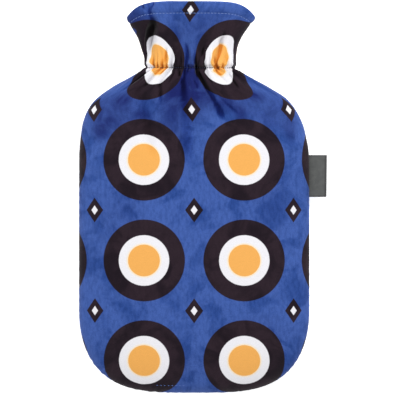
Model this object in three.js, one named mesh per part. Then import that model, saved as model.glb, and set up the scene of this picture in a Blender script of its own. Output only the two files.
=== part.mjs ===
// Hot water bottle cover, lying on its back: a soft pouch of two velour panels sewn together along
// the sides and the bottom, drawn in at the neck by a hidden elastic, and open at a flared collar
// with a hemmed rim. A blank woven label is folded in two and caught in the right-hand side seam.
// The pouch keeps the shape that a bottle gives it, and it is hollow.
//
// Millimetres. +X is to the right seen from above, +Y towards the collar, +Z up from the surface.
// The origin is on the flat underside, halfway along the cover.
import * as THREE from "three";

// ---- Driving sizes ----
const LENGTH = 351; // bottom seam to the top of the collar
const HALF_WIDTH = 103.7; // body, centre line to side seam
const CORNER_LENGTH = 75; // height of the rounded bottom end
const CORNER_POWER = { across: 3.6, down: 2.2 }; // squareness of the bottom corners
const CLOTH = 2.4; // one layer of velour with its pile
const HEM_CLOTH = 4.2; // the turned hem, two layers pressed together
const HEM_DEPTH = 11; // rim to the hem's stitching
const HEM_STEP = 2; // height over which the cloth thickens into the hem
const SEAM_GAP = 0.3; // between the two panels' sewn edges
const ELASTIC_Y = 116.5; // height of the gathering elastic
const COLLAR_Y = 120; // above this the rows of cloth begin to droop towards the seams
const RIM_DROOP = 12.5; // how much lower the rim lies at the side seams than in the middle
const RIM_DROOP_POWER = 6; // how late towards the seams the rim turns down
const UNDERSIDE_POWER = 1.5; // how much more abruptly the underside turns up to the seam
const INNER_FOLD_SHARE = 0.6; // how much of a gather shows on the inside of the cloth
const GATHER_FADE = 0.08; // share of the half-width beside a seam where the gathers die away

const BOTTOM_Y = -LENGTH / 2;
const RIM_Y = LENGTH / 2;
const CORNER_Y = BOTTOM_Y + CORNER_LENGTH;
const HEM_Y = RIM_Y - HEM_DEPTH;
// The middle of a bottom corner, as shares of the half-width and of the corner's height.
const CORNER_MIDDLE = {
  across: Math.pow(0.5, 1 / CORNER_POWER.across),
  down: Math.pow(0.5, 1 / CORNER_POWER.down),
};

// ---- Side seams above the rounded bottom: distance of each from the centre line ----
const OUTLINE = [
  { y: CORNER_Y, left: HALF_WIDTH, right: HALF_WIDTH },
  { y: -40, left: HALF_WIDTH, right: HALF_WIDTH },
  { y: 36, left: 103.6, right: 103.4 },
  { y: 60, left: 101.6, right: 99.6 },
  { y: 75, left: 97.8, right: 93.8 },
  { y: 88, left: 89.3, right: 84.4 },
  { y: 99, left: 75.0, right: 68.0 },
  { y: 108, left: 58.8, right: 51.5 },
  { y: 114, left: 48.4, right: 41.2 },
  { y: ELASTIC_Y, left: 45.0, right: 38.4 },
  { y: 124, left: 45.0, right: 37.9 },
  { y: 134, left: 47.6, right: 38.8 },
  { y: 144, left: 51.0, right: 42.6 },
  { y: 154, left: 56.8, right: 49.2 },
  { y: 163, left: 60.6, right: 55.0 },
];

// ---- Form along the length: seam height, rise of the front above it, drop of the back below it,
// and how square the front's cross-section is ----
const FORM = [
  { y: BOTTOM_Y, seam: 17.0, front: 20.6, back: 19.2, square: CORNER_POWER.across },
  { y: 56, seam: 17.0, front: 20.6, back: 19.2, square: CORNER_POWER.across },
  { y: 92, seam: 17.2, front: 19.2, back: 18.2, square: 2.8 },
  { y: ELASTIC_Y, seam: 18.0, front: 14.0, back: 14.4, square: 2.3 },
  { y: 140, seam: 19.2, front: 17.0, back: 17.0, square: 2.2 },
  { y: RIM_Y, seam: 20.6, front: 21.0, back: 20.8, square: 2.1 },
];

// ---- Gathers at the elastic: place across the panel from seam to seam (-1 to 1), half-width there
// as a share of the panel's half-width, height, and reach down the shoulder and up the collar ----
const FRONT_GATHERS = [
  { at: -0.88, half: 0.11, height: 2.4, down: 16, up: 26 },
  { at: -0.68, half: 0.11, height: 3.0, down: 30, up: 18 },
  { at: -0.47, half: 0.12, height: 2.6, down: 24, up: 24 },
  { at: -0.22, half: 0.14, height: 2.2, down: 34, up: 30 },
  { at: 0.02, half: 0.11, height: 3.2, down: 40, up: 22 },
  { at: 0.23, half: 0.11, height: 2.8, down: 46, up: 16 },
  { at: 0.44, half: 0.11, height: 2.4, down: 26, up: 26 },
  { at: 0.65, half: 0.11, height: 3.0, down: 20, up: 34 },
  { at: 0.87, half: 0.11, height: 2.4, down: 18, up: 20 },
];
const BACK_GATHERS = [
  { at: -0.8, half: 0.15, height: 2.2, down: 20, up: 22 },
  { at: -0.5, half: 0.16, height: 2.6, down: 34, up: 28 },
  { at: -0.16, half: 0.17, height: 2.4, down: 28, up: 24 },
  { at: 0.18, half: 0.17, height: 2.6, down: 36, up: 30 },
  { at: 0.52, half: 0.16, height: 2.2, down: 26, up: 20 },
  { at: 0.82, half: 0.15, height: 2.4, down: 18, up: 26 },
];

// ---- Long soft troughs in the front, each from one place to another in plan ----
const FRONT_TROUGHS = [
  { name: "collar left, at the rim", x0: -42, y0: 176, x1: -37, y1: 154, half: 5, depth: 2.6 },
  { name: "collar left", x0: -37, y0: 152, x1: -43, y1: 126, half: 7, depth: 5.5 },
  { name: "collar middle", x0: -20, y0: 160, x1: -12, y1: 132, half: 12, depth: 1.8 },
  { name: "collar right", x0: 26, y0: 142, x1: 20, y1: 119, half: 5, depth: 3.0 },
  { name: "shoulder left", x0: -48, y0: 92, x1: -40, y1: 58, half: 15, depth: 1.6 },
  { name: "shoulder middle", x0: -10, y0: 98, x1: -6, y1: 52, half: 16, depth: 2.0 },
  { name: "shoulder right", x0: 4, y0: 114, x1: 22, y1: 80, half: 7, depth: 2.8 },
  { name: "shoulder far right", x0: 38, y0: 92, x1: 68, y1: 70, half: 13, depth: 1.8 },
];

// ---- The label ----
const LABEL = {
  y: 19.6, // middle of its height
  height: 37.8, // along the seam
  reach: 15.6, // out of the seam
  layer: 1.0, // one layer of the folded ribbon
  slit: 0.4, // between the two layers
};

const COLOURS = { velour: 0x3a57a4, ribbon: 0x5d5e5d };

// ---- The panels' meshes: columns from seam to seam, and rows over each stretch of the length ----
const COLUMN_CROWDING = 0.5; // how much the columns crowd towards the seams, 0 to 1
const NUDGE = 1e-3; // the step, as a share of a panel, over which a slope is measured
const FRONT_MESH = {
  columns: 44,
  rows: [
    { from: BOTTOM_Y, to: -140, count: 6 },
    { from: -140, to: -90, count: 5 },
    { from: -90, to: 30, count: 3 },
    { from: 30, to: 60, count: 3 },
    { from: 60, to: 100, count: 7 },
    { from: 100, to: 130, count: 8 },
    { from: 130, to: HEM_Y - HEM_STEP, count: 5 },
    { from: HEM_Y - HEM_STEP, to: HEM_Y, count: 1 },
    { from: HEM_Y, to: RIM_Y, count: 2 },
  ],
};
const BACK_MESH = {
  columns: 32,
  rows: [
    { from: BOTTOM_Y, to: -140, count: 6 },
    { from: -140, to: -90, count: 4 },
    { from: -90, to: 30, count: 3 },
    { from: 30, to: 60, count: 3 },
    { from: 60, to: 100, count: 6 },
    { from: 100, to: 130, count: 7 },
    { from: 130, to: HEM_Y - HEM_STEP, count: 4 },
    { from: HEM_Y - HEM_STEP, to: HEM_Y, count: 1 },
    { from: HEM_Y, to: RIM_Y, count: 2 },
  ],
};

// A smooth value from a table's named column at y, by cubic spans that never overshoot a row.
function valueAt(table, column, y) {
  const last = table.length - 1;
  if (y <= table[0].y) return table[0][column];
  if (y >= table[last].y) return table[last][column];
  const i = table.findIndex((row) => row.y > y) - 1;
  const slope = (a, b) => (table[b][column] - table[a][column]) / (table[b].y - table[a].y);
  const tangent = (k) => {
    if (k === 0 || k === last) return 0;
    const before = slope(k - 1, k);
    const after = slope(k, k + 1);
    return before * after <= 0 ? 0 : (2 * before * after) / (before + after);
  };
  const span = table[i + 1].y - table[i].y;
  const t = (y - table[i].y) / span;
  const rise = t * t * (3 - 2 * t);
  return (
    table[i][column] * (1 - rise) +
    table[i + 1][column] * rise +
    tangent(i) * span * t * (1 - t) * (1 - t) -
    tangent(i + 1) * span * t * t * (1 - t)
  );
}

// 0 to 1 with level ends, as t goes from 0 to 1.
function smoothstep(t) {
  const c = THREE.MathUtils.clamp(t, 0, 1);
  return c * c * (3 - 2 * c);
}

// 1 in the middle of a fold and 0 at its edges, as off goes from 0 to 1.
function bump(off) {
  return off < 1 ? Math.pow(Math.cos((off * Math.PI) / 2), 2) : 0;
}

// Distance of a side seam from the centre line at height y.
function seamDistance(side, y) {
  if (y >= CORNER_Y) return valueAt(OUTLINE, side, y);
  const down = Math.min(1, (CORNER_Y - y) / CORNER_LENGTH);
  return HALF_WIDTH * Math.pow(1 - Math.pow(down, CORNER_POWER.down), 1 / CORNER_POWER.across);
}

// How much higher than its middle a row of cloth meets the seams, for a row that crosses the centre
// line at height y. At the bottom a row follows the rounded edge up to the middle of its corner.
function rowLift(y) {
  if (y < CORNER_Y) {
    const down = (CORNER_Y - y) / CORNER_LENGTH;
    return CORNER_LENGTH * (1 - CORNER_MIDDLE.down) * down * down;
  }
  if (y > COLLAR_Y) return -RIM_DROOP * Math.pow((y - COLLAR_Y) / (RIM_Y - COLLAR_Y), 2);
  return 0;
}

// The share of a row's lift that it has at a share of the way from the centre line to the seam.
function liftShare(y, across) {
  if (y > COLLAR_Y) return Math.pow(across, RIM_DROOP_POWER);
  const edge = Math.pow(across * CORNER_MIDDLE.across, CORNER_POWER.across);
  return (1 - Math.pow(1 - edge, 1 / CORNER_POWER.down)) / (1 - CORNER_MIDDLE.down);
}

// Plan position of the cloth at (u, y): u from -1 at the left seam to 1 at the right seam, and y the
// height at which its row crosses the centre line. edge is 0 in the middle and 1 at a sewn edge.
function planAt(u, y) {
  const seamY = y + rowLift(y);
  const left = seamDistance("left", seamY);
  const right = seamDistance("right", seamY);
  const x = (right - left) / 2 + (u * (left + right)) / 2;
  const placeY = y + rowLift(y) * liftShare(y, Math.abs(u));
  if (y >= CORNER_Y) return { x, y: placeY, edge: Math.pow(Math.abs(u), valueAt(FORM, "square", y)) };
  const acrossPart = Math.pow(Math.abs(x) / HALF_WIDTH, CORNER_POWER.across);
  const downPart = Math.pow((CORNER_Y - placeY) / CORNER_LENGTH, CORNER_POWER.down);
  return { x, y: placeY, edge: Math.min(1, acrossPart + downPart) };
}

// Height of the gathers above the smooth cloth at (u, y).
function gatherHeight(gathers, u, y) {
  let height = 0;
  for (const gather of gathers) {
    const reach = y < ELASTIC_Y ? gather.down : gather.up;
    const fade = 1 - smoothstep(Math.abs(y - ELASTIC_Y) / reach);
    height += gather.height * fade * bump(Math.abs(u - gather.at) / gather.half);
  }
  return height * smoothstep((1 - Math.abs(u)) / GATHER_FADE);
}

// Depth of the long troughs at a place in plan.
function troughDepth(troughs, x, y) {
  let depth = 0;
  for (const { x0, y0, x1, y1, half, depth: deepest } of troughs) {
    const dx = x1 - x0;
    const dy = y1 - y0;
    const length = Math.hypot(dx, dy);
    const along = ((x - x0) * dx + (y - y0) * dy) / length;
    const off = ((x - x0) * dy - (y - y0) * dx) / length;
    const beyond = Math.max(0, -along, along - length);
    depth += deepest * bump(Math.hypot(off, beyond) / half);
  }
  return depth;
}

// Outer surface of the front, without gathers.
function frontSurface(u, y) {
  const place = planAt(u, y);
  const arch = Math.sqrt(1 - place.edge);
  const dent = troughDepth(FRONT_TROUGHS, place.x, place.y) * smoothstep(arch * 1.4);
  const rise = valueAt(FORM, "front", y) * arch - dent;
  return new THREE.Vector3(place.x, place.y, valueAt(FORM, "seam", y) + SEAM_GAP / 2 + rise);
}

// Outer surface of the back, without gathers; what would go below the surface lies flat on it.
function backSurface(u, y) {
  const place = planAt(u, y);
  const arch = Math.sqrt(1 - Math.pow(place.edge, UNDERSIDE_POWER));
  const drop = valueAt(FORM, "back", y) * arch;
  const z = Math.max(0, valueAt(FORM, "seam", y) - SEAM_GAP / 2 - drop);
  return new THREE.Vector3(place.x, place.y, z);
}

// A panel's outward normal at (u, y). It is level at the sewn edges, where the panels meet flat.
function clothNormal(surface, u, y, outward) {
  const above = Math.min(y + NUDGE * LENGTH, RIM_Y);
  const below = Math.max(y - NUDGE * LENGTH, BOTTOM_Y);
  const before = Math.max(u - NUDGE, -1);
  const after = Math.min(u + NUDGE, 1);
  const acrossCloth = surface(after, y).sub(surface(before, y));
  const alongCloth = surface(u, above).sub(surface(u, below));
  if (y === BOTTOM_Y) return new THREE.Vector3(acrossCloth.y, -acrossCloth.x, 0).normalize();
  if (u === 1) return new THREE.Vector3(alongCloth.y, -alongCloth.x, 0).normalize();
  if (u === -1) return new THREE.Vector3(-alongCloth.y, alongCloth.x, 0).normalize();
  return acrossCloth.cross(alongCloth).normalize().multiplyScalar(outward);
}

// The heights of a mesh's rows, from the bottom up.
function rowHeights(stretches) {
  const heights = [BOTTOM_Y];
  for (const { from, to, count } of stretches) {
    for (let i = 1; i < count; i++) heights.push(from + ((to - from) * i) / count);
    heights.push(to);
  }
  return heights;
}

// A panel as one closed sheet: a box whose top face becomes the outer surface and whose bottom face
// becomes the inner one, with the cloth's thickness between them. outward is 1 up and -1 down.
function panelGeometry(surface, gathers, outward, mesh) {
  const heights = rowHeights(mesh.rows);
  const rows = heights.length - 1;
  const box = new THREE.BoxGeometry(2, rows, 2, mesh.columns, rows, 1);
  const position = box.attributes.position;
  for (let i = 0; i < position.count; i++) {
    const column = Math.round(((position.getX(i) + 1) / 2) * mesh.columns);
    const t = (2 * column) / mesh.columns - 1;
    const u = COLUMN_CROWDING * Math.sin((t * Math.PI) / 2) + (1 - COLUMN_CROWDING) * t;
    const y = heights[Math.round(position.getY(i) + rows / 2)];
    const isOuter = position.getZ(i) > 0;
    const fold = gatherHeight(gathers, u, y);
    const hem = smoothstep((y - HEM_Y + HEM_STEP) / HEM_STEP);
    const thickness = THREE.MathUtils.lerp(CLOTH, HEM_CLOTH, hem);
    const offset = isOuter ? fold : INNER_FOLD_SHARE * fold - thickness;
    const place = surface(u, y).addScaledVector(clothNormal(surface, u, y, outward), offset);
    if (outward < 0) place.z = Math.max(place.z, isOuter ? 0 : CLOTH);
    position.setXYZ(i, place.x, place.y, place.z);
  }
  if (outward < 0) turnInsideOut(box);
  box.computeVertexNormals();
  return box;
}

// Reverses each triangle, for a panel whose outer face looks down.
function turnInsideOut(geometry) {
  const index = geometry.index;
  for (let i = 0; i < index.count; i += 3) {
    const second = index.getX(i + 1);
    index.setX(i + 1, index.getX(i + 2));
    index.setX(i + 2, second);
  }
}

// The label: a ribbon folded in two, so its section is a hairpin with the fold at its outer edge.
function labelGeometry() {
  const outer = LABEL.layer + LABEL.slit / 2;
  const inner = LABEL.slit / 2;
  const straight = LABEL.reach - outer;
  const section = new THREE.Shape();
  section.moveTo(0, -outer);
  section.lineTo(straight, -outer);
  section.absarc(straight, 0, outer, -Math.PI / 2, Math.PI / 2, false);
  section.lineTo(0, outer);
  section.lineTo(0, inner);
  section.lineTo(straight, inner);
  section.absarc(straight, 0, inner, Math.PI / 2, -Math.PI / 2, true);
  section.lineTo(0, -inner);
  section.closePath();
  const depth = LABEL.height;
  return new THREE.ExtrudeGeometry(section, { depth, bevelEnabled: false, curveSegments: 6 });
}

function cloth(colour, roughness) {
  return new THREE.MeshStandardMaterial({ color: colour, roughness, metalness: 0 });
}

function named(name, geometry, material) {
  const mesh = new THREE.Mesh(geometry, material);
  mesh.name = name;
  return mesh;
}

const velour = cloth(COLOURS.velour, 0.95);
const ribbon = cloth(COLOURS.ribbon, 0.6);

const front = panelGeometry(frontSurface, FRONT_GATHERS, 1, FRONT_MESH);
const back = panelGeometry(backSurface, BACK_GATHERS, -1, BACK_MESH);

// The ribbon stands out level from the side seam, its length along the seam.
const sideLabel = named("side_label", labelGeometry(), ribbon);
sideLabel.rotation.x = Math.PI / 2;
sideLabel.position.set(
  seamDistance("right", LABEL.y - LABEL.height / 2) + SEAM_GAP,
  LABEL.y + LABEL.height / 2,
  valueAt(FORM, "seam", LABEL.y),
);

const cover = new THREE.Group();
cover.add(named("front_panel", front, velour), named("back_panel", back, velour), sideLabel);

export default cover;
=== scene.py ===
# %% [markdown]
# # A velour cover for a hot water bottle
# The real cover is cut as two panels of printed velour, sewn face to face along the sides and the
# bottom and then turned, so each seam ends up as a fine groove that the cloth rolls into. A hidden
# elastic draws the neck in, and above it the collar flares to a hemmed rim. A blank woven label,
# folded in two, is caught in one side seam.
# This lesson lays each cut of cloth as a thin closed sheet over the shape that a bottle gives it,
# and then adds the gathers, the sewing, the print and the light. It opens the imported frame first,
# so that every piece is made where its solid already is.
# %% Open the frame
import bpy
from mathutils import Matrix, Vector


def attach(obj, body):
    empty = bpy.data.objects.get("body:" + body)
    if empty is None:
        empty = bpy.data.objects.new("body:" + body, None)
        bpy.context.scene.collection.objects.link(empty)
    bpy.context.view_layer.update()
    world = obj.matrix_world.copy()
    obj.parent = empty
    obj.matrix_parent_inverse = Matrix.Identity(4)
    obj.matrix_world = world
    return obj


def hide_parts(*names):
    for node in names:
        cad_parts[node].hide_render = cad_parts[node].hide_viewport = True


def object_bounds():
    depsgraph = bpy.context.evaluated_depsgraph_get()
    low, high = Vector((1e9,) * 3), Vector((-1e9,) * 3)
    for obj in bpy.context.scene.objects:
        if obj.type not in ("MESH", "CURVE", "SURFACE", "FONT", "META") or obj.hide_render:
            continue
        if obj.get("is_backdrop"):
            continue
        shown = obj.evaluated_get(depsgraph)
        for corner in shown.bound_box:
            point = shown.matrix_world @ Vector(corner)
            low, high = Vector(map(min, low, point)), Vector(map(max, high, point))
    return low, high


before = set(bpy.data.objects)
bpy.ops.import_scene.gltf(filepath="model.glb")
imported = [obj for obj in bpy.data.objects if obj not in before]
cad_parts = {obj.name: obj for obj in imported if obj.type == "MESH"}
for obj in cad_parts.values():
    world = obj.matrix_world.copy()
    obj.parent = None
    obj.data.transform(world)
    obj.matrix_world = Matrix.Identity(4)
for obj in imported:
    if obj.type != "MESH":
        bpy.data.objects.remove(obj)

cad_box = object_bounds()
print("Nodes in the frame:", ", ".join(sorted(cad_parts)))

# %% [markdown]
# ## Units and small tools
# Cloth is cut and gathered in millimetres, so the sizes here are in millimetres and only the
# finished points are turned into metres. Sizes that change along the cover stand in short tables
# with named columns. Reading such a table with straight lines would leave a kink at every row, and
# an ordinary spline would swing past the rows, so value_at uses cubic spans that never overshoot.
# %% Tables and smooth steps
import math

import bmesh
import bpy
import numpy as np
from mathutils import Matrix, Vector

MM = 0.001


def table(columns, *rows):
    """A table with named columns, each one an array."""
    return {name: np.array(values, float) for name, values in zip(columns.split(), zip(*rows))}


def value_at(rows, column, y):
    """The smooth value of a column at each height y."""
    heights, values = rows["y"], rows[column]
    slopes = np.diff(values) / np.diff(heights)
    before, after = slopes[:-1], slopes[1:]
    total = np.where(before * after > 0, before + after, 1)
    tangents = np.concatenate([[0], np.where(before * after > 0, 2 * before * after / total, 0), [0]])
    y = np.clip(y, heights[0], heights[-1])
    i = np.clip(np.searchsorted(heights, y, side="right") - 1, 0, len(heights) - 2)
    span = heights[i + 1] - heights[i]
    t = (y - heights[i]) / span
    rise = t * t * (3 - 2 * t)
    bend = tangents[i] * t * (1 - t) ** 2 - tangents[i + 1] * t * t * (1 - t)
    return values[i] * (1 - rise) + values[i + 1] * rise + span * bend


def smoothstep(t):
    """0 to 1 with level ends, as t goes from 0 to 1."""
    t = np.clip(t, 0, 1)
    return t * t * (3 - 2 * t)


def bump(off):
    """1 in the middle of a fold and 0 at its edges, as off goes from 0 to 1."""
    return np.cos(np.clip(np.abs(off), 0, 1) * math.pi / 2) ** 2


print("Height of a fold from its middle to its edge:", [round(float(bump(off / 4)), 2) for off in range(5)])

# %% [markdown]
# ## The shape that the cloth is laid over
# The pouch keeps the form of the bottle inside: nearly parallel sides, a rounded bottom, sloping
# shoulders, a narrow neck and a flared collar. Sculpting it by hand would never sit exactly on the
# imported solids. Instead two tables hold its sizes along the centre line: how far each side seam is
# from that line, and how high the seams lie and the cloth rises and drops between them.
# %% Outline and form
LENGTH, HALF_WIDTH, CORNER_LENGTH = 351, 103.7, 75
CORNER_ACROSS, CORNER_DOWN = 3.6, 2.2  # squareness of the bottom corners
SEAM_GAP = 0.3
ELASTIC_Y, COLLAR_Y = 116.5, 120
RIM_DROOP, RIM_DROOP_POWER = 12.5, 6  # how far, and how late, the rim turns down to the seams
BOTTOM_Y, RIM_Y = -LENGTH / 2, LENGTH / 2
CORNER_Y = BOTTOM_Y + CORNER_LENGTH
CORNER_MIDDLE = (0.5 ** (1 / CORNER_ACROSS), 0.5 ** (1 / CORNER_DOWN))

OUTLINE = table(
    "y left right",
    (CORNER_Y, 103.7, 103.7), (-40, 103.7, 103.7), (36, 103.6, 103.4), (60, 101.6, 99.6),
    (75, 97.8, 93.8), (88, 89.3, 84.4), (99, 75.0, 68.0), (108, 58.8, 51.5), (114, 48.4, 41.2),
    (ELASTIC_Y, 45.0, 38.4), (124, 45.0, 37.9), (134, 47.6, 38.8), (144, 51.0, 42.6),
    (154, 56.8, 49.2), (163, 60.6, 55.0),
)
# Seam height, rise of the front above it, drop of the back below it, squareness of the front.
FORM = table(
    "y seam front back square",
    (BOTTOM_Y, 17.0, 20.6, 19.2, CORNER_ACROSS), (56, 17.0, 20.6, 19.2, CORNER_ACROSS),
    (92, 17.2, 19.2, 18.2, 2.8), (ELASTIC_Y, 18.0, 14.0, 14.4, 2.3),
    (140, 19.2, 17.0, 17.0, 2.2), (RIM_Y, 20.6, 21.0, 20.8, 2.1),
)

print(len(OUTLINE["y"]), "rows of outline and", len(FORM["y"]), "rows of form")

# %% [markdown]
# ## From two numbers to a place in plan
# A place on a panel is given by two numbers, u from -1 at the left seam to 1 at the right seam, and
# y, the height at which its row of cloth crosses the centre line. At the bottom a row meets the
# seams higher up than its middle, which spreads the rows evenly round the corners. In the collar it
# meets them lower down, because the rim droops towards the seams. plan_at gives the place of the
# two numbers as seen from above.
# %% Places in plan
def seam_distance(side, y):
    """Distance of a side seam from the centre line."""
    down = np.clip((CORNER_Y - y) / CORNER_LENGTH, 0, 1)
    corner = HALF_WIDTH * (1 - down**CORNER_DOWN) ** (1 / CORNER_ACROSS)
    return np.where(y >= CORNER_Y, value_at(OUTLINE, side, y), corner)


def row_lift(y):
    """How much higher than its middle a row of cloth meets the seams."""
    corner = CORNER_LENGTH * (1 - CORNER_MIDDLE[1]) * ((CORNER_Y - y) / CORNER_LENGTH) ** 2
    collar = -RIM_DROOP * ((y - COLLAR_Y) / (RIM_Y - COLLAR_Y)) ** 2
    return np.where(y < CORNER_Y, corner, np.where(y > COLLAR_Y, collar, 0))


def lift_share(y, across):
    """The share of its row's lift that a place has, a share of the way out to the seam."""
    edge = (across * CORNER_MIDDLE[0]) ** CORNER_ACROSS
    corner = (1 - (1 - edge) ** (1 / CORNER_DOWN)) / (1 - CORNER_MIDDLE[1])
    return np.where(y > COLLAR_Y, across**RIM_DROOP_POWER, corner)


def plan_at(u, y):
    """Place seen from above, and edge, which is 0 in the middle and 1 at a sewn edge."""
    seam_y = y + row_lift(y)
    left, right = seam_distance("left", seam_y), seam_distance("right", seam_y)
    x = (right - left) / 2 + u * (left + right) / 2
    place_y = y + row_lift(y) * lift_share(y, np.abs(u))
    down = np.clip((CORNER_Y - place_y) / CORNER_LENGTH, 0, None)
    corner_edge = (np.abs(x) / HALF_WIDTH) ** CORNER_ACROSS + down**CORNER_DOWN
    edge = np.where(y >= CORNER_Y, np.abs(u) ** value_at(FORM, "square", y), corner_edge)
    return x, place_y, np.clip(edge, 0, 1)


def width_at(y):
    """Distance between the two side seams."""
    return float(seam_distance("left", y) + seam_distance("right", y))


print(f"Body {width_at(0.0):.1f} mm wide, neck {width_at(ELASTIC_Y):.1f} mm")

# %% [markdown]
# ## Long soft troughs
# Cloth that is drawn in at the neck falls into a few long hollows on the shoulders and in the
# collar. They could be simulated, but a simulation puts them where it likes. Each one is written
# here as a line from one place to another in plan, with a width and a depth, and is pressed into
# the smooth front. The back is pressed flat against the floor and has none.
# %% Troughs
FRONT_TROUGHS = table(
    "x0 y0 x1 y1 half depth",
    (-42, 176, -37, 154, 5, 2.6), (-37, 152, -43, 126, 7, 5.5), (-20, 160, -12, 132, 12, 1.8),
    (26, 142, 20, 119, 5, 3.0), (-48, 92, -40, 58, 15, 1.6), (-10, 98, -6, 52, 16, 2.0),
    (4, 114, 22, 80, 7, 2.8), (38, 92, 68, 70, 13, 1.8),
)
NO_TROUGHS = {}


def along_line(x, y, row):
    """How far along a row's line, off to its right, and past its ends each place is."""
    dx, dy = row["x1"] - row["x0"], row["y1"] - row["y0"]
    length = math.hypot(dx, dy)
    along = ((x - row["x0"]) * dx + (y - row["y0"]) * dy) / length
    off = ((x - row["x0"]) * dy - (y - row["y0"]) * dx) / length
    return along, off, np.maximum(0, np.maximum(-along, along - length)), length


def rows_of(rows):
    """A table's rows, one by one."""
    return [dict(zip(rows, values)) for values in zip(*rows.values())]


def trough_depth(troughs, x, y):
    """Depth of the long troughs at each place in plan."""
    depth = np.zeros_like(x)
    for row in rows_of(troughs):
        _, off, beyond, _ = along_line(x, y, row)
        depth += row["depth"] * bump(np.hypot(off, 0.5 * beyond) / row["half"])
    return depth


print(len(FRONT_TROUGHS["x0"]), "troughs in the front")

# %% [markdown]
# ## The two smooth surfaces
# Before it gets its folds, the front rises from the seams in an arch, which is squared off over the
# body of the bottle and rounder at the neck and in the collar. The back drops from the seams until
# it rests on the floor. A plain cut-off there would leave a hard line where the cloth comes down, so
# rest_on_floor softens the change.
# %% Smooth surfaces
UNDERSIDE_POWER = 1.5  # how abruptly the underside turns up to the seam
FLOOR_SOFTNESS = 0.8  # how softly the underside comes down on the floor


def rest_on_floor(z):
    """z, kept from going below 0, with a soft change between the two."""
    near = np.clip(1 - np.abs(z) / FLOOR_SOFTNESS, 0, None)
    return np.maximum(z, 0) + near * near * FLOOR_SOFTNESS / 4


def front_surface(u, y):
    """Points of the front before it is gathered, with its troughs."""
    x, place_y, edge = plan_at(u, y)
    arch = np.sqrt(1 - edge)
    dent = trough_depth(FRONT_TROUGHS, x, place_y) * smoothstep(arch * 1.4)
    rise = value_at(FORM, "front", y) * arch - dent
    return np.stack([x, place_y, value_at(FORM, "seam", y) + SEAM_GAP / 2 + rise], axis=-1)


def back_surface(u, y):
    """Points of the back before it is gathered."""
    x, place_y, edge = plan_at(u, y)
    drop = value_at(FORM, "back", y) * np.sqrt(1 - edge**UNDERSIDE_POWER)
    return np.stack([x, place_y, rest_on_floor(value_at(FORM, "seam", y) - SEAM_GAP / 2 - drop)], axis=-1)


middle = np.zeros(1)
print(f"The smooth cloth stands {front_surface(middle, middle)[0, 2]:.1f} mm high in the middle")

# %% [markdown]
# ## Gathers and shirring
# The elastic packs the cloth of the neck into less than its width. Seen from a step away that is a
# few deep gathers that die away on the shoulders and in the collar; seen close there are about
# twenty small puckers along the stitching itself, with short ticks where the thread bites into the
# pile. The gathers are the same as the solids'. The puckers and ticks are too fine for the solids,
# and their places come from seeded random numbers, because even ones look machine-made.
# %% Gathers, puckers and ticks
FRONT_GATHERS = table(
    "at half height down up",
    (-0.88, 0.11, 2.4, 16, 26), (-0.68, 0.11, 3.0, 30, 18), (-0.47, 0.12, 2.6, 24, 24),
    (-0.22, 0.14, 2.2, 34, 30), (0.02, 0.11, 3.2, 40, 22), (0.23, 0.11, 2.8, 46, 16),
    (0.44, 0.11, 2.4, 26, 26), (0.65, 0.11, 3.0, 20, 34), (0.87, 0.11, 2.4, 18, 20),
)
BACK_GATHERS = table(
    "at half height down up",
    (-0.8, 0.15, 2.2, 20, 22), (-0.5, 0.16, 2.6, 34, 28), (-0.16, 0.17, 2.4, 28, 24),
    (0.18, 0.17, 2.6, 36, 30), (0.52, 0.16, 2.2, 26, 20), (0.82, 0.15, 2.4, 18, 26),
)
# The smallest and the largest half-width, height, reach down and reach up.
PUCKERS = (0.046, 0.062), (1.4, 2.8), (9, 32), (8, 26)
TICKS = (0.03, 0.046), (-2.4, -1.2), (3, 9), (2.5, 7)
SHIRRED, UNEVEN = 0.95, 0.018  # how far out the small folds go, and how far each may stray
SEAM_FADE = 0.08  # how far from the seams the folds start to die away, as a share of the way out


def shirring(count, seed, spans):
    """A table of small folds along the elastic, spaced and sized unevenly."""
    random = np.random.default_rng(seed)
    places = np.linspace(-SHIRRED, SHIRRED, count) + random.uniform(-UNEVEN, UNEVEN, count)
    sizes = [random.uniform(*span, count) for span in spans]
    return table("at half height down up", *zip(places, *sizes))


def fold_height(folds, u, y, sharpness=1.0):
    """Height of a table of folds above the smooth cloth; above 1, sharpness narrows the valleys."""
    height = np.zeros(np.broadcast(u, y).shape)
    for row in rows_of(folds):
        reach = np.where(y < ELASTIC_Y, row["down"], row["up"])
        fade = 1 - smoothstep(np.abs(y - ELASTIC_Y) / reach)
        height += row["height"] * fade * bump((u - row["at"]) / row["half"]) ** (1 / sharpness)
    return height * smoothstep((1 - np.abs(u)) / SEAM_FADE)


print(len(FRONT_GATHERS["at"]), "gathers in the front and", len(BACK_GATHERS["at"]), "in the back")

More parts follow.
